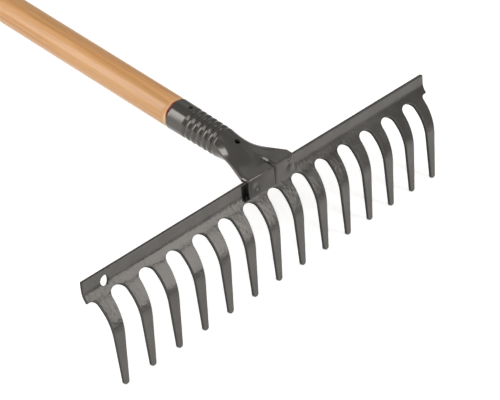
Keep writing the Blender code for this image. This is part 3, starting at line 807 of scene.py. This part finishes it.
def socket_grids(head, socket):
    """The socket's outer face as grids: tube and fan as one, then the front flap's halves and the rear flap.

    From the neck to the fold the top and the level of the sides run straight, and the underside with a
    fifth of its way eased. The half width grows by a power of the share of that way and the drift by its
    square. Each corner is cut back by the square of its nearness to the fold, the left one twice as far as
    the right.
    """
    path, lean = flap_path(head, socket)
    behind = rear_path(head, socket)
    grooves_start = FIRST_GROOVE + (socket.grooves - 1) * GROOVE_PITCH + GROOVE_WIDTH / 2
    mouth = np.linspace(SOCKET_LENGTH, grooves_start, MOUTH_ROWS)
    ribs = np.linspace(grooves_start, FAN_LENGTH, RIB_ROWS)[1:]
    fan = np.linspace(FAN_LENGTH, behind[0, 0], FAN_ROWS)[1:]
    y = np.concatenate((mouth, ribs, fan))[:, None]
    share = np.clip((FAN_LENGTH - y) / (FAN_LENGTH - behind[0, 0]), 0.0, 1.0)
    tube = tube_radius(y) - socket.depth * groove_share(y, socket)
    fold_top = path[0, 1]
    level = (fold_top - FOLD_DEPTH / 2) * share
    top = tube + (fold_top - NECK_RADIUS) * share
    eased = (1 - UNDERSIDE_EASE) * share + UNDERSIDE_EASE * ease(share)
    bottom = -tube + (behind[0, 1] + NECK_RADIUS) * eased
    shift = FAN_DRIFT * np.clip(1 - y / FAN_LENGTH, 0.0, 1.0) ** 2
    halves, flaps, under = [], [], []
    for sign in (1, -1):
        near_end = np.clip(1 - (y - behind[0, 0]) / END_ROUNDING_LENGTH, 0.0, 1.0) ** 2
        cut = near_end * (END_ROUNDING if sign < 0 else END_ROUNDING / 2)
        half_width = tube + (FAN_HALF_WIDTH - NECK_RADIUS) * share**FAN_FLARE - cut
        x, z, past_top = half_section(sign, y, half_width, top, bottom, level, shift)
        on_top = past_top[-1] < FLAP_ROUND
        below = z[-1] < behind[0, 1] + REAR_ROUND
        z = z + lips_and_lobes(sign, x, z, y, level, socket)
        skin = np.stack((x, np.broadcast_to(y, x.shape), z), axis=-1)
        halves.append(skin)
        flaps.append(front_flap(skin[-1, on_top], path, lean, socket))
        under.append(skin[-1, below])
    rear = np.concatenate((under[0], under[1][::-1][1:]))
    drop = np.stack(np.broadcast_arrays(rear[None, :, 0], behind[1:, None, 0], behind[1:, None, 1]), axis=-1)
    return [*halves, *flaps, np.concatenate((rear[None], drop))]


def front_flap(edge, path, lean, socket):
    """Half of the front flap, hung from the fan's last row of points, whose extra height fades out down it.

    The fold bulges by a parabola across the flap. Going down, the flap drifts to the left. The extra drift
    and the cut at its left edge grow with the square of the way there. Each dent or drop of weld is a
    Gaussian bell.
    """
    rows = np.arange(len(path))[:, None]
    share = np.clip((rows - FOLD_STEPS) / FLAP_STEPS, 0.0, 1.0)
    left = np.clip((FAN_DRIFT - edge[None, :, 0]) / FLAP_LEFT_RUN, 0.0, 1.0)
    x = edge[None, :, 0] - FLAP_SKEW * share - (FLAP_SPLAY - FLAP_SKEW) * share * left**2
    bulge = 1 - ((x - FAN_DRIFT) / BOW_HALF_WIDTH) ** 2
    out = socket.bow * bulge * (1 - share) * np.minimum(rows / BOW_ROWS, 1.0)
    down = share * FLAP_LENGTH
    for at_x, at_down, radius, height in PRESS_MARKS:
        out = out + height * np.exp(-((x - at_x) ** 2 + (down - at_down) ** 2) / radius**2)
    lift = FLAP_CUT * share * left**2
    y = path[:, :1] - out * math.cos(lean) + lift * math.sin(lean)
    extra = (edge[None, :, 2] - path[0, 1]) * (1 - share)
    z = path[:, 1:] + out * math.sin(lean) + lift * math.cos(lean) + extra
    return np.concatenate((edge[None], np.stack(np.broadcast_arrays(x, y, z), axis=-1)))


def punch(obj, name, radius, y):
    """Cuts a round hole down through the socket's upper wall, with a small funnel at the surface.

    The exact cut can fail where the surface has waves only a few grid steps long.
    """
    surface = float(tube_radius(y))
    z = np.array((0.0, surface - LEAD_IN_DEPTH, surface + LEAD_IN_DEPTH, surface + CUTTER_ABOVE))[:, None]
    flare = np.array((0.0, 0.0, 1.0, 1.0))[:, None] * LEAD_IN_FLARE
    turn = np.linspace(0.0, 2 * math.pi, CUTTER_STEPS + 1)
    x, across = (radius + flare) * np.cos(turn), (radius + flare) * np.sin(turn)
    side = np.stack(np.broadcast_arrays(x, y + across, z), axis=-1)
    ends = [np.stack((side[row], np.broadcast_to((0.0, y, z[row, 0]), side[row].shape))) for row in (0, -1)]
    cutter = add_object(name, grids_to_mesh(name, [side, *ends]))
    boolean = obj.modifiers.new(name, "BOOLEAN")
    boolean.operation = "DIFFERENCE"
    boolean.object = cutter
    return cutter


class RAKE_OT_socket(bpy.types.Operator):
    """Form the socket: rolled and grooved tube, seamed fan and the flap folded over the head"""

    bl_idname = "rake.socket"
    bl_label = "Form the Socket"

    def execute(self, context):
        head, socket = context.scene.rake_head, context.scene.rake_socket
        form = add_object("socket form", grids_to_mesh("socket form", socket_grids(head, socket)))
        wall = form.modifiers.new("wall", "SOLIDIFY")
        wall.thickness = socket.wall
        wall.offset = -1.0
        rounding = form.modifiers.new("edge", "BEVEL")
        rounding.width = socket.edge
        rounding.segments = 2
        rounding.limit_method = "ANGLE"
        rounding.angle_limit = math.radians(60)
        rounding.use_clamp_overlap = False
        cutters = [
            punch(form, "nail hole", NAIL_HOLE_RADIUS, NAIL_HOLE_AT),
            punch(form, "neck hole", NECK_HOLE_RADIUS, NECK_HOLE_AT),
        ]
        mesh = applied(form)
        for cutter in cutters:
            bpy.data.objects.remove(cutter, do_unlink=True)
        merge_and_face_out(mesh)
        move_points(mesh, lay_down)
        shade_round(mesh, 35)
        add_piece("socket_formed", mesh, finish(rolled_steel_lacquer), "painted_steel", "socket")
        return {"FINISHED"}


def handle_outline(socket):
    """The handle's profile as (radius, distance from the head), from its grip end to its tenon's end.

    The grip end is a quarter circle, and the shoulder at the socket's mouth a quarter of an ellipse.
    """
    shoulder = SOCKET_LENGTH + FIT_GAP
    inner = float(tube_radius(SOCKET_LENGTH)) - socket.wall - FIT_GAP
    drop = HANDLE_RADIUS - inner
    centre = (HANDLE_RADIUS - GRIP_ROUNDING, GRIP_END - GRIP_ROUNDING)
    grip = arc(centre, GRIP_ROUNDING, math.pi / 2, 0.0, GRIP_STEPS)
    along = np.linspace(GRIP_END - SHANK_FROM_GRIP, shoulder + SHANK_FROM_SHOULDER, SHANK_ROWS)
    shank = np.stack((np.full(SHANK_ROWS, HANDLE_RADIUS), along), axis=-1)
    turn = np.linspace(0.0, math.pi / 2, SHOULDER_STEPS + 1)
    round_y = shoulder + SHOULDER_ROUND_END - SHOULDER_ROUND_LENGTH * np.sin(turn)
    round_down = np.stack((inner + drop * np.cos(turn), round_y), axis=-1)
    y = np.array((shoulder, GROOVES_END + GROOVE_ROOM, GROOVES_END, TENON_END + TENON_CHAMFER, TENON_END))
    room = np.array((0.0, 0.0, GROOVE_ROOM, GROOVE_ROOM, GROOVE_ROOM + TENON_CHAMFER))
    tenon = np.stack((tube_radius(y) - socket.wall - FIT_GAP - room, y), axis=-1)
    return np.concatenate(([(0.0, GRIP_END)], grip, shank, round_down, tenon, [(0.0, TENON_END)]))


class RAKE_OT_handle(bpy.types.Operator):
    """Turn the wooden handle, with its rounded grip end and its shoulder at the socket's mouth"""

    bl_idname = "rake.handle"
    bl_label = "Turn the Handle"

    def execute(self, context):
        radius, along = handle_outline(context.scene.rake_socket).T
        turn = np.linspace(0.0, 2 * math.pi, TURN_STEPS + 1)
        x, z = radius[:, None] * np.cos(turn), radius[:, None] * np.sin(turn)
        grid = np.stack(np.broadcast_arrays(x, along[:, None], z), axis=-1)
        mesh = grids_to_mesh("handle_turned", [lay_down(grid)])
        shade_round(mesh, 40)
        add_piece("handle_turned", mesh, finish(varnished_wood), "varnished_wood", "handle")
        return {"FINISHED"}


class RAKE_OT_nail(bpy.types.Operator):
    """Give the nail at the socket's mouth its oxidised finish"""

    bl_idname = "rake.nail"
    bl_label = "Finish the Nail"

    def execute(self, context):
        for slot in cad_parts["socket_nail"].material_slots:
            slot.material = finish(oxidised_wire)
        return {"FINISHED"}


def bead_grid(low, high, lean):
    """A weld bead in a CAD node's box, as an ellipsoid along the sheet.

    Its radius has three low ripples along its length, as the metal froze, and a lopsided swell round it.
    """
    middle = (np.array(low) + np.array(high)) / 2
    around = np.linspace(0.0, 2 * math.pi, BEAD_STEPS + 1)
    along = np.linspace(0.0, math.pi, BEAD_ROWS + 1)[:, None]
    ripple = 1 + BEAD_RIPPLE * np.cos(BEAD_RIPPLES * along * 2) - BEAD_RIPPLE
    swell = ripple * (1 - BEAD_RIPPLE + BEAD_RIPPLE * np.cos(2 * around + BEAD_SWELL_START))
    side = BEAD_ACROSS * np.sin(along) * swell * np.cos(around)
    out = BEAD_OUT * np.sin(along) * swell * np.sin(around)
    run = np.broadcast_to(BEAD_ALONG * np.cos(along), side.shape)
    y = -out * math.cos(lean) - run * math.sin(lean)
    z = out * math.sin(lean) - run * math.cos(lean)
    return middle + np.stack((side, y, z), axis=-1)


class RAKE_OT_welds(bpy.types.Operator):
    """Lay the two weld beads beside the front flap"""

    bl_idname = "rake.welds"
    bl_label = "Lay the Welds"

    def execute(self, context):
        for node, drop in BEAD_DROPS.items():
            lean = float(sheet_lean(drop)) + REST_TILT
            mesh = grids_to_mesh(f"{node}_run", [bead_grid(*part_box(node), lean)])
            shade_round(mesh, 60)
            add_piece(f"{node}_run", mesh, finish(rolled_steel_lacquer), "painted_steel", node)
        return {"FINISHED"}


class StageSettings(bpy.types.PropertyGroup):
    """Light and camera."""

    ambient: FloatProperty(name="Ambient", description="Even light from all round", default=0.30, min=0.0)
    strip: FloatProperty(name="Strip", description="Tall softbox at the back left", default=4.9, unit="POWER")
    front: FloatProperty(name="Front", description="Softbox at the front right", default=2.1, unit="POWER")
    back: FloatProperty(name="Back", description="Dim softbox at the back right", default=0.7, unit="POWER")
    over: FloatProperty(name="Over", description="Softbox over the left front", default=8.2, unit="POWER")
    lens: FloatProperty(name="Lens", description="Focal length, 36 mm sensor", default=141.022, unit="CAMERA")


def seen_directly(tree):
    """1 for rays from the camera and for those that mirror or pass on what the camera sees, otherwise 0."""
    path = add_node(tree, "ShaderNodeLightPath")
    seen = path.outputs["Is Camera Ray"]
    for kind in ("Is Glossy Ray", "Is Transmission Ray"):
        seen = add_node(tree, "ShaderNodeMath", {"operation": "MAXIMUM"}, {0: seen, 1: path.outputs[kind]})
    return seen


def light_world(stage):
    """Even grey light from all round, as in a studio with grey walls."""
    world = bpy.data.worlds.new("studio")
    world.use_nodes = True
    tree = world.node_tree
    tree.nodes.clear()
    ambient = add_node(tree, "ShaderNodeBackground", {"Color": (1, 1, 1, 1), "Strength": stage.ambient})
    add_node(tree, "ShaderNodeOutputWorld", {}, {"Surface": ambient})
    bpy.context.scene.world = world


def pale_floor(colours):
    """Matt white paper. Its glow shows only to the camera and in reflections, and keeps the rake's shadow."""
    material, tree = new_finish("matt white paper")
    paper = add_node(tree, "ShaderNodeBsdfDiffuse", {"Color": linear(colours.floor)})
    seen = seen_directly(tree)
    strength = add_node(tree, "ShaderNodeMath", {"operation": "MULTIPLY", 1: FLOOR_GLOW}, {0: seen})
    glow = add_node(tree, "ShaderNodeEmission", {}, {"Strength": strength})
    add_node(tree, "ShaderNodeAddShader", {}, {0: paper, 1: glow})
    return finished(material)


def add_softbox(name, power, place, target, width, height, roll):
    """A rectangular lamp that faces a target, rolled about the way it faces by an angle in degrees."""
    light = bpy.data.lights.new(name, "AREA")
    light.shape = "RECTANGLE"
    light.size = width
    light.size_y = height
    light.energy = power
    lamp = add_object(name, light)
    lamp.location = place
    lamp.visible_camera = False
    facing = (Vector(target) - Vector(place)).to_track_quat("-Z", "Y")
    lamp.rotation_mode = "QUATERNION"
    lamp.rotation_quaternion = facing @ Quaternion((0.0, 0.0, 1.0), math.radians(roll))


class RAKE_OT_stage(bpy.types.Operator):
    """Set up the floor, the softboxes and the camera"""

    bl_idname = "rake.stage"
    bl_label = "Set the Stage"

    def execute(self, context):
        scene, stage = context.scene, context.scene.rake_stage
        edge = np.linspace(-FLOOR_REACH, FLOOR_REACH, 3)
        x, y = np.meshgrid(edge, edge)
        floor = add_object("floor", grids_to_mesh("floor", [np.stack((x, y, np.zeros_like(x)), axis=-1)]))
        floor.data.materials.append(pale_floor(scene.rake_finishes))
        light_world(stage)
        for name, box in SOFTBOXES.items():
            add_softbox(f"{name} softbox", getattr(stage, name), *box)
        camera = bpy.data.cameras.new("camera")
        camera.sensor_width = SENSOR_WIDTH
        camera.lens = stage.lens
        camera.shift_x, camera.shift_y = CAMERA_SHIFT
        camera.clip_end = CAMERA_REACH
        eye = add_object("camera", camera)
        eye.location = CAMERA_PLACE
        eye.rotation_mode = "QUATERNION"
        eye.rotation_quaternion = CAMERA_TURN
        scene.camera = eye
        scene.view_settings.view_transform = "Standard"
        return {"FINISHED"}


class RAKE_PT_panel(bpy.types.Panel):
    """Sizes, finishes and steps of the rake"""

    bl_label = "Garden Rake"
    bl_idname = "RAKE_PT_panel"
    bl_space_type = "VIEW_3D"
    bl_region_type = "UI"
    bl_category = "Rake"

    def draw(self, context):
        for group in GROUPS:
            box = self.layout.box()
            settings = getattr(context.scene, group)
            for name in settings.__annotations__:
                box.prop(settings, name)
        for step in STEPS:
            self.layout.operator(step.bl_idname)


GROUPS = {
    "rake_head": HeadSizes,
    "rake_socket": SocketSizes,
    "rake_finishes": Finishes,
    "rake_stage": StageSettings,
}
STEPS = (RAKE_OT_head, RAKE_OT_socket, RAKE_OT_handle, RAKE_OT_nail, RAKE_OT_welds, RAKE_OT_stage)


def register():
    """Adds the rake's settings, steps and panel to Blender."""
    for group in GROUPS.values():
        bpy.utils.register_class(group)
    for step in (*STEPS, RAKE_PT_panel):
        bpy.utils.register_class(step)
    for name, group in GROUPS.items():
        setattr(bpy.types.Scene, name, PointerProperty(type=group))


def unregister():
    """Takes them out again."""
    for name in GROUPS:
        delattr(bpy.types.Scene, name)
    for step in (RAKE_PT_panel, *reversed(STEPS)):
        bpy.utils.unregister_class(step)
    for group in GROUPS.values():
        bpy.utils.unregister_class(group)


def main():
    """Runs every step in order."""
    register()
    bpy.ops.rake.head()
    bpy.ops.rake.socket()
    bpy.ops.rake.handle()
    bpy.ops.rake.nail()
    bpy.ops.rake.welds()
    bpy.ops.rake.stage()


if __name__ == "__main__":
    main()
